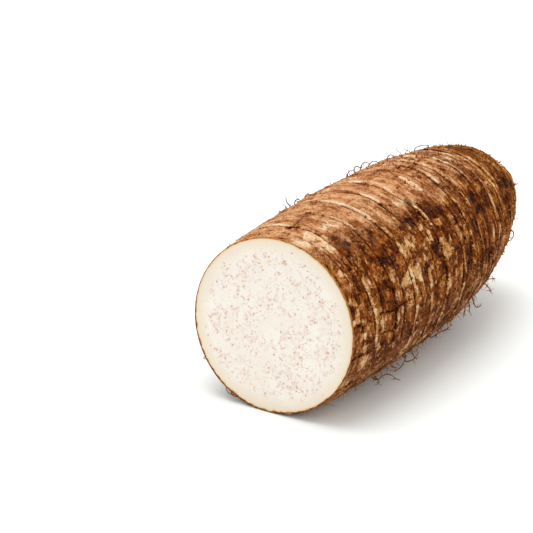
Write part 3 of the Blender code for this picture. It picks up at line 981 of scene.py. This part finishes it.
# The flesh: the pale cut face, with its flecks
flesh = {
    "columns": 200,
    "rings": 26,
    "ringCrowding": 0.8,
    "thick": 2.4 * mm,
    "proud": 0.12 * mm,
    "overlap": 0.1 * mm,
    "rounding": 0.5 * mm,
    "shoulder": 0.3 * mm,
    "knifeMarks": 0.05 * mm,
    "knifeAcross": 3,
    "knifeUp": 11,
    "plain": (0.79, 0.725, 0.65, 1.0),
    "bright": (0.82, 0.77, 0.70, 1.0),
    "edge": (0.745, 0.645, 0.505, 1.0),
    "bark": (0.74, 0.52, 0.30, 1.0),
    "pink": (0.46, 0.16, 0.125, 1.0),
    "orange": (0.62, 0.27, 0.11, 1.0),
    "haze": (0.72, 0.555, 0.52, 1.0),
    "gold": (0.72, 0.46, 0.17, 1.0),
    "largeDots": (0.50, 0.60, 0.90),       # scale, size, strength
    "littleDots": (0.80, 0.56, 0.65),
    "goldDots": (0.32, 0.46, 0.50),
    "inClumps": 0.74,                      # share of the cells that hold a dot
    "elsewhere": 0.03,
    "littleShare": 0.6,
    "goldShare": 0.40,
    "gloss": 0.35,
    "bump": 0.2 * mm,
}


def buildFlesh():
    turns = np.arange(flesh["columns"]) * math.tau / flesh["columns"]
    outer = rimReach(turns) + flesh["overlap"] / cutRadius
    rounding = flesh["rounding"] / cutRadius
    rows = []                  # share of the way out, and how deep
    for k in range(flesh["rings"] + 1):
        reach = (outer - rounding) * (k / flesh["rings"]) ** flesh["ringCrowding"]
        across = flesh["knifeAcross"] * reach * np.cos(turns)
        up = flesh["knifeUp"] * reach * np.sin(turns)
        marks = flesh["knifeMarks"] * noiseOver(np.stack([across, up, 0 * turns], -1))
        rows.append((reach, marks - flesh["proud"]))
    rows.append((outer - 0.3 * rounding, -0.6 * flesh["proud"]))
    rows.append((outer, flesh["shoulder"]))
    rows.append((outer, flesh["thick"]))
    rows.append((0 * outer, flesh["thick"]))
    work, grid = spunGrid(len(rows), flesh["columns"])
    piece = putMesh(work, "malangaFlesh")
    setPoints(piece, grid, np.stack([cutPoints(reach, turns, deep) for reach, deep in rows]))
    wide = cutRadius / mm
    flat = [np.stack([reach * wide * np.cos(turns), reach * wide * np.sin(turns), reach / outer], -1)
            for reach, _ in rows]
    addMask(piece, grid, "onCut", np.stack(flat))
    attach(piece, "root")
    return piece


# Dots in a share of the cells of a pattern, and a number of its own for each
def dots(tree, place, scale, size, share):
    numbers, distance = cells(tree, place, scale, voronoi_dimensions="2D")
    chosen = sums(tree, "LESS_THAN", numbers[0], share)
    reach = stretch(tree, numbers[1], 0.0, 1.0, 0.5 * size, size, "LINEAR")
    near = stretch(tree, sums(tree, "DIVIDE", distance, reach), 1.0, 0.1)
    weight = stretch(tree, numbers[2], 0.0, 1.0, 0.2, 1.0, "LINEAR")
    return both(tree, both(tree, near, chosen), weight), numbers[1]


def fleshMaterial():
    material, tree, shader = newMaterial("malangaFleshCut")
    place = readMask(tree, "onCut", "Vector")
    reach = addNode(tree, "ShaderNodeSeparateXYZ", {0: place}).outputs[2]
    waver = noiseNode(tree, place, 0.5, 2.0, 0.5, output="Color")
    bent = addNode(tree, "ShaderNodeVectorMath", {0: place, 1: waver}, operation="ADD").outputs[0]

    # the flecks stand in clumps, in a broad band round the middle
    crowds = noiseNode(tree, place, 0.08, 2.0, 0.5)
    clumps = ragged(tree, noiseNode(tree, place, 0.27, 2.0, 0.55, 1.4), (crowds, 0.3))
    band = both(tree, stretch(tree, reach, 0.93, 0.80), stretch(tree, reach, 0.03, 0.20))
    clumps = both(tree, stretch(tree, clumps, 0.50, 0.60), band)
    share = raised(tree, both(tree, clumps, flesh["inClumps"]), band, flesh["elsewhere"])
    goldShare = both(tree, stretch(tree, reach, 0.97, 0.85), flesh["goldShare"])
    large, largeTint = dots(tree, bent, *flesh["largeDots"][:2], share)
    little, littleTint = dots(tree, squeezed(tree, bent, 1.0, 7.3), *flesh["littleDots"][:2],
                              both(tree, share, flesh["littleShare"]))
    gold, _ = dots(tree, squeezed(tree, bent, 1.0, 21.7), *flesh["goldDots"][:2], goldShare)

    cloud = stretch(tree, noiseNode(tree, place, 0.06, 3.0, 0.5), 0.4, 0.7)
    base = mixColours(tree, cloud, flesh["plain"], flesh["bright"])
    base = mixColours(tree, stretch(tree, reach, 0.80, 1.0), base, flesh["edge"])
    base = mixColours(tree, both(tree, stretch(tree, reach, 0.965, 1.0), 0.8), base, flesh["bark"])
    near = stretch(tree, sums(tree, "MAXIMUM", large, little), 0.0, 0.5)
    haze = both(tree, clumps, stretch(tree, near, 0.0, 1.0, 0.40, 0.6))
    base = mixColours(tree, haze, base, flesh["haze"])
    base = mixColours(tree, both(tree, gold, flesh["goldDots"][2]), base, flesh["gold"])
    for kind, shown, tint in (("littleDots", little, littleTint), ("largeDots", large, largeTint)):
        pink = mixColours(tree, stretch(tree, tint, 0.55, 0.9), flesh["pink"], flesh["orange"])
        base = mixColours(tree, both(tree, shown, flesh[kind][2]), base, pink)
    tree.links.new(base, shader.inputs["Base Color"])
    grain = noiseNode(tree, place, 2.2)
    tree.links.new(stretch(tree, grain, 0.3, 0.7, 0.42, 0.6), shader.inputs["Roughness"])
    shader.inputs["Specular IOR Level"].default_value = flesh["gloss"]
    addBump(tree, shader, grain, 0.35, flesh["bump"])
    return material


fleshPiece = buildFlesh()
fleshPiece.data.materials.append(fleshMaterial())
print("flesh built")

# The thick rootlets of the solid, drawn as smooth tapering strands
rootlets = {
    "radius": 0.46 * mm,
    "tipRadius": 0.24 * mm,
    "thinRadius": 0.28 * mm,
    "thinTipRadius": 0.14 * mm,
    "curlRadius": 0.30 * mm,
    "curlTipRadius": 0.20 * mm,
    "sunk": 2.0 * mm,
    "clearance": 0.8 * mm,
    "across": Vector((0.786, 0.618, 0.0)),
    "rise": Vector((-0.231, 0.294, 0.928)),
    "scatterSeed": 23,
    "lengths": (8 * mm, 17 * mm),
    "steps": 7,
    "sideways": 0.30,
    "waver": 0.34,
    "outwards": 0.10,
    "stubsFrom": 200,          # mm
    "stubPoints": 4,
    "dark": (0.085, 0.026, 0.006, 1.0),
    "light": (0.34, 0.12, 0.030, 1.0),
}
# Foot as (mm, degrees), then how far across and up each bend lies from it, in mm
lowFlankRootlets = (
    ((48, -49), ((1.2, -1.9), (3.8, -2.7), (6.0, -0.8), (9.0, 0.3), (11.6, -0.3), (13.8, -2.1),
                 (16.4, -3.0))),
    ((50, -49), ((1.4, -2.3), (2.8, -4.0), (3.0, -5.4))),
    ((65, -48), ((0.5, -0.7), (1.8, -1.8), (3.8, -2.6))),
    ((80, -47), ((0.8, -1.2), (0.2, -4.5), (-2.0, -8.1), (-5.4, -10.5))),
    ((78, -47), ((1.5, -2.1), (2.0, -3.9), (3.8, -3.8), (6.0, -3.0), (8.0, -1.0), (9.3, 1.0), (8.2, 2.5))),
    ((87, -47), ((0.4, -0.6), (1.3, -2.4), (3.3, -5.5), (4.4, -4.9))),
    ((106, -45), ((1.2, -1.1), (4.6, 0.7), (7.8, 2.5), (10.5, 3.5), (12.1, 5.0), (13.8, 6.4))),
    ((136, -31), ((0.8, -2.3), (0.0, -6.9))),
    ((149, -37), ((0.7, -2.8), (0.8, -7.1))),
    ((155, -37), ((1.1, -4.6), (3.0, -7.0), (4.9, -6.2))),
    ((159, -26), ((3.0, -1.9), (5.1, -5.4))),
    ((167, -33), ((3.3, 2.3), (6.7, 2.9))),
    ((209, -14), ((2.1, -0.6), (2.4, -2.9), (1.4, -5.2), (-1.0, -6.9))),
)
topRootlets = (
    ((60, 124), ((0.2, 2.2), (1.5, 3.3), (3.2, 2.6))),
    ((71, 125), ((0.7, 2.3), (2.9, 2.8), (5.3, 2.5))),
    ((109, 121), ((0.6, 2.3), (2.0, 4.1), (4.4, 4.1))),
    ((117, 120), ((-0.8, 3.0), (0.8, 4.6), (2.9, 3.6), (4.6, 4.4))),
    ((122, 120), ((0.4, 2.8), (1.8, 5.2), (3.8, 5.7), (5.6, 4.7))),
    ((129, 119), ((1.6, 3.1), (3.4, 4.3), (6.4, 3.6))),
    ((146, 116), ((1.3, 3.0), (2.7, 3.5), (3.9, 2.4))),
    ((172, 111), ((-0.5, 1.9), (2.7, 4.0), (8.3, 4.4))),
)
thinRootlets = (
    ((55, -48), ((1.2, -2.0), (1.8, -4.1), (2.9, -4.8))),
    ((94, -46), ((0.9, -1.1), (-0.5, -3.3), (-1.8, -4.7))),
    ((120, -44), ((-0.4, -2.8), (-1.8, -4.6))),
    ((116, -35), ((1.3, -2.7), (0.2, -5.9))),
    ((122, -35), ((0.8, -2.1), (-0.5, -4.3))),
    ((122.8, -34.2), ((1.6, 0.8), (3.2, 1.5))),
    ((157, -36), ((0.9, -1.8), (1.9, -3.4))),
    ((52, 126), ((0.3, 2.6), (-1.1, 4.2))),
    ((158, 112), ((-1.2, 2.0), (-3.2, 3.4), (-3.6, 5.4))),
    ((160, 112), ((1.2, 1.6), (2.6, 3.4), (1.8, 5.0))),
    ((166, 110), ((-1.6, 1.4), (-3.4, 2.2), (-4.6, 4.0))),
    ((178, 108), ((0.6, 1.6), (2.4, 2.0), (3.6, 3.4))),
    ((198, 100), ((0.2, 1.8), (-0.8, 3.4))),
    ((212, -4), ((1.6, 0.6), (3.2, 0.2), (4.4, 1.2))),
    ((216, -8), ((1.4, -0.4), (2.8, -1.4))),
    ((205, -16), ((1.4, -1.0), (2.0, -3.0), (1.2, -4.6))),
)
# Scattered on the hidden sides: (from, to) in mm, (from, to) in degrees, how many
scatteredBeds = (
    ((30, 180), (208, 240), 7),
    ((40, 170), (140, 175), 3),
    ((222, 246), (0, 360), 4),
)
# Loose curls of skin at the rim of the cut: (from, to) in degrees, how far they stand off in mm
rimCurls = ((237, 246, 1.1), (247, 241, 0.7), (213, 215, 0.8), (318, 314, 0.7), (296, 301, 0.5))
# Points of a curl: share of the way round, share of the height it stands off, mm under the cut
curlShape = ((0, -0.4, 1.0), (0.05, 0.5, 0.6), (0.4, 1.0, -0.4), (0.75, 0.7, 0.2), (1, -0.3, 0.8))


def rootletFoot(place, turn):
    angle = np.array(math.radians(turn))
    start, out = bodyPoints(shareAt(np.array(place * mm)), angle, place * mm)
    return Vector(start), Vector(out)


def measuredPath(foot, bends):
    start, out = rootletFoot(*foot)
    path = [start - out * rootlets["sunk"], start]
    for across, rise in bends:
        path.append(start + rootlets["across"] * across * mm + rootlets["rise"] * rise * mm)
    return path


def scatteredPath(draws, places, turns):
    place = draws.uniform(*places)
    start, out = rootletFoot(place, draws.uniform(*turns))
    spread = Vector((draws.uniform(-1, 1), draws.uniform(-1, 1), draws.uniform(-1, 0.4)))
    sideways = (spread - out * spread.dot(out)).normalized()
    step = draws.uniform(*rootlets["lengths"]) / rootlets["steps"]
    heading = out.copy()
    path = [start - out * rootlets["sunk"], start + out * 0.4 * step]
    for _ in range(rootlets["steps"] - 1):
        waver = Vector((draws.uniform(-1, 1), draws.uniform(-1, 1), draws.uniform(-1, 1)))
        heading += rootlets["sideways"] * sideways + rootlets["waver"] * waver + rootlets["outwards"] * out
        heading.normalize()
        point = path[-1] + heading * step
        point.z = max(point.z, rootlets["clearance"])
        path.append(point)
    return path


# Strands as (path, thickness at the foot, thickness at the tip), turned into one smooth mesh
def strandPiece(name, strands, sides, smoothing=4, straight=False):
    curve = bpy.data.curves.new(name + "Lines", "CURVE")
    curve.dimensions = "3D"
    curve.bevel_depth = 1.0 * mm
    curve.bevel_resolution = sides
    curve.resolution_u = smoothing
    curve.use_fill_caps = True
    for path, foot, tip in strands:
        spline = curve.splines.new("POLY" if straight else "BEZIER")
        points = spline.points if straight else spline.bezier_points
        points.add(len(path) - 1)
        for k, (point, where) in enumerate(zip(points, path)):
            point.co = (*where, 1.0) if straight else where
            point.radius = (foot + (tip - foot) * k / (len(path) - 1)) / mm
            if not straight:
                point.handle_left_type = point.handle_right_type = "AUTO"
    holder = bpy.data.objects.new(name + "Lines", curve)
    bpy.context.scene.collection.objects.link(holder)
    bpy.context.view_layer.update()
    mesh = bpy.data.meshes.new_from_object(holder.evaluated_get(bpy.context.evaluated_depsgraph_get()))
    bpy.data.objects.remove(holder)
    work = bmesh.new()
    work.from_mesh(mesh)
    bmesh.ops.remove_doubles(work, verts=work.verts, dist=0.001 * mm)
    bmesh.ops.recalc_face_normals(work, faces=work.faces)
    piece = putMesh(work, name)
    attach(piece, "root")
    return piece


# Hairs by kind. Lengths and thicknesses are in mm, and a lean of 1 lies flat on the skin
hairs = {
    "branches": {"count": 120, "length": (1.2, 3.8), "steps": 6, "curl": 0.75, "foot": 0.20, "tip": 0.11,
                 "lean": 0.4},
    "bristles": {"count": 700, "length": (1.2, 4.0), "steps": 4, "curl": 0.22, "foot": (0.10, 0.19),
                 "tip": 0.06, "lean": (0.3, 0.85), "fromRing": (-2.2, 1.5)},
    "stumps": {"count": 820, "length": (1.4, 2.5), "steps": 2, "curl": 0.10, "foot": (0.45, 0.85),
               "tip": 0.28, "lean": (0.0, 0.4), "fromRing": (-1.6, 0.4)},
    "fringe": {"count": 420, "length": (2.5, 7.0), "steps": 7, "curl": 0.6, "foot": (0.12, 0.20), "tip": 0.08,
               "lean": (0.5, 0.95), "place": (4, 235)},
    "fuzz": {"count": 1700, "length": (0.8, 2.6), "steps": 3, "curl": 0.25, "foot": (0.07, 0.12), "tip": 0.05,
             "lean": (0.3, 0.85), "place": (2, 250)},
    "sunk": 0.3 * mm,
    "waver": 0.2,
    "clearance": 0.15 * mm,
    "turns": (-65, 245),       # none under the root
    "rightFringe": (-42, 6),   # middle and spread, degrees
    "leftFringe": (222, 7),
    "dark": (0.08, 0.023, 0.005, 1.0),
    "light": (0.42, 0.16, 0.042, 1.0),
}
# Most stumps stand far from the cut
stumpRings = scars + scars[5:] + scars[8:]


def anyWay():
    return Vector((chance.gauss(0, 1), chance.gauss(0, 1), chance.gauss(0, 1)))


def hairPath(start, out, length, steps, curl, lean):
    spread = anyWay()
    sideways = (spread - out * spread.dot(out)).normalized()
    heading = (out * (1 - lean) + sideways * lean).normalized()
    bend = anyWay() * curl
    path = [start - out * hairs["sunk"]]
    for _ in range(steps):
        heading = (heading + bend + hairs["waver"] * anyWay()).normalized()
        point = path[-1] + heading * length / steps
        point.z = max(point.z, hairs["clearance"])
        path.append(point)
    return path


def anyTurn():
    return chance.uniform(*hairs["turns"]) % 360


# One hair on the skin, at this many mm along it and degrees round it
def hairAt(kind, place, turn):
    hair = hairs[kind]
    length = chance.uniform(*hair["length"]) * mm
    foot = chance.uniform(*hair["foot"]) * mm
    lean = chance.uniform(*hair["lean"])
    path = hairPath(skinAt(place, turn), skinFacing(place, turn), length, hair["steps"], hair["curl"], lean)
    return path, foot, hair["tip"] * mm


# Side hairs on the rootlets, two in three of them on the lower flank
def branchStrands(paths):
    branch = hairs["branches"]
    made = []
    for k in range(branch["count"]):
        path = chance.choice(paths[:len(lowFlankRootlets)] if k % 3 else paths)
        foot = path[chance.randrange(2, len(path))] if len(path) > 3 else path[2]
        side = anyWay().normalized()
        length = chance.uniform(*branch["length"]) * mm
        hair = hairPath(foot, side, length, branch["steps"], branch["curl"], branch["lean"])
        made.append((hair, branch["foot"] * mm, branch["tip"] * mm))
    return made


def rimCurl(fromTurn, toTurn, height):
    around, off, under = np.array(curlShape).T
    reach = 1 + off * height * mm / cutRadius
    points = cutPoints(reach, np.radians(fromTurn + around * (toTurn - fromTurn)), under * mm)
    return [Vector(point) for point in points]


def buildRootlets():
    paths = [measuredPath(foot, bends) for foot, bends in lowFlankRootlets + topRootlets]
    draws = random.Random(rootlets["scatterSeed"])
    for places, turns, count in scatteredBeds:
        scattered = [scatteredPath(draws, places, turns) for _ in range(count)]
        stubs = places[0] > rootlets["stubsFrom"]               # broken off short round the grown end
        paths += [path[:rootlets["stubPoints"]] if stubs else path for path in scattered]
    strands = [(path, rootlets["radius"], rootlets["tipRadius"]) for path in paths]
    strands += [(measuredPath(foot, bends), rootlets["thinRadius"], rootlets["thinTipRadius"])
                for foot, bends in thinRootlets]
    strands += branchStrands(paths)
    strands += [(rimCurl(*curl), rootlets["curlRadius"], rootlets["curlTipRadius"]) for curl in rimCurls]
    return strandPiece("malangaRootlets", strands, sides=1, smoothing=3)


def buildFuzz():
    made = []
    for kind, rings in (("bristles", scars), ("stumps", stumpRings)):
        for _ in range(hairs[kind]["count"]):
            place = chance.choice(rings) + chance.uniform(*hairs[kind]["fromRing"])
            made.append(hairAt(kind, place, anyTurn()))
    for k in range(hairs["fringe"]["count"]):          # curls along the lower flanks
        turn = chance.gauss(*hairs["rightFringe"]) if k % 4 else chance.gauss(*hairs["leftFringe"])
        place = chance.uniform(*hairs["fringe"]["place"])
        made.append(hairAt("fringe", place, turn % 360))
    for _ in range(hairs["fuzz"]["count"]):
        place = chance.uniform(*hairs["fuzz"]["place"])
        made.append(hairAt("fuzz", place, anyTurn()))
    return strandPiece("malangaFuzz", made, sides=0, straight=True)


def strandMaterial(name, dark, light):
    material, tree, shader = newMaterial(name)
    place = addNode(tree, "ShaderNodeTexCoord").outputs["Object"]
    tone = noiseNode(tree, place, 260.0)
    inputs = {"Place": place, "Scale": 1800.0, "Length": 2.0}
    grain = addNode(tree, "ShaderNodeGroup", inputs, node_tree=fibreGrain)
    fibres = grain.outputs["Fibres"]
    tone = stretch(tree, raised(tree, both(tree, tone, 0.7), fibres, 0.3), 0.36, 0.62)
    tree.links.new(mixColours(tree, tone, dark, light), shader.inputs["Base Color"])
    tree.links.new(stretch(tree, fibres, 0.3, 0.7, 0.6, 0.8), shader.inputs["Roughness"])
    shader.inputs["Specular IOR Level"].default_value = 0.1
    addBump(tree, shader, fibres, 0.5, 0.1 * mm)
    return material


rootletPiece = buildRootlets()
rootletPiece.data.materials.append(strandMaterial("malangaRootletBark", rootlets["dark"], rootlets["light"]))
print("rootlets built:", len(rootletPiece.data.polygons), "faces")

fuzzPiece = buildFuzz()
fuzzPiece.data.materials.append(strandMaterial("malangaHair", hairs["dark"], hairs["light"]))
print("fuzz built:", len(fuzzPiece.data.polygons), "faces")

# The plain studio
studio = {
    "floorSize": 6.0,
    "floorColour": (0.92, 0.945, 0.925, 1.0),
    "floorShade": (0.90, 0.90, 0.90, 1.0),
    "floorMottle": 0.02,
    "worldColour": (1.0, 1.0, 1.0, 1.0),
    "worldStrength": 1.0,
    "lampPower": 15.0,
    "lampSize": 1.5,
    "lampFrom": Vector((-0.28, 0.01, 1.62)),
    "lampTo": Vector((0, 0.03, 0.04)),
    "target": Vector((-0.0673, -0.0071, 0.0433)),
    "distance": 0.926,
    "elevation": math.radians(21.93),
    "azimuth": math.radians(38.19),
    "viewAngle": math.radians(20),
}


def buildFloor():
    work = bmesh.new()
    bmesh.ops.create_grid(work, x_segments=2, y_segments=2, size=studio["floorSize"])
    floor = putMesh(work, "studioFloor")
    material, tree, shader = newMaterial("studioFloorPaint")
    place = addNode(tree, "ShaderNodeTexCoord").outputs["Object"]
    mottle = both(tree, noiseNode(tree, place, 3.0, 2.0, 0.5), studio["floorMottle"])
    colour = mixColours(tree, mottle, studio["floorColour"], studio["floorShade"])
    tree.links.new(colour, shader.inputs["Base Color"])
    shader.inputs["Roughness"].default_value = 0.9
    shader.inputs["Specular IOR Level"].default_value = 0.1
    floor.data.materials.append(material)


# A lamp or a camera, turned from one place towards another
def aim(name, data, place, target):
    holder = bpy.data.objects.new(name, data)
    holder.location = place
    holder.rotation_euler = (target - place).to_track_quat("-Z", "Y").to_euler()
    bpy.context.scene.collection.objects.link(holder)
    return holder


def buildStudio():
    buildFloor()
    world = bpy.data.worlds.new("studioLight")
    world.use_nodes = True
    world.node_tree.nodes["Background"].inputs[0].default_value = studio["worldColour"]
    world.node_tree.nodes["Background"].inputs[1].default_value = studio["worldStrength"]
    bpy.context.scene.world = world
    lamp = bpy.data.lights.new("softLamp", "AREA")
    lamp.shape = "DISK"
    lamp.size = studio["lampSize"]
    lamp.energy = studio["lampPower"]
    aim("softLamp", lamp, studio["lampFrom"], studio["lampTo"])
    camera = bpy.data.cameras.new("photoCamera")
    camera.angle = studio["viewAngle"]
    level = math.cos(studio["elevation"])
    away = Vector((math.sin(studio["azimuth"]) * level, -math.cos(studio["azimuth"]) * level,
                   math.sin(studio["elevation"])))
    place = studio["target"] + away * studio["distance"]
    bpy.context.scene.camera = aim("photoCamera", camera, place, studio["target"])
    bpy.context.scene.view_settings.view_transform = "Standard"


buildStudio()
print("studio set")
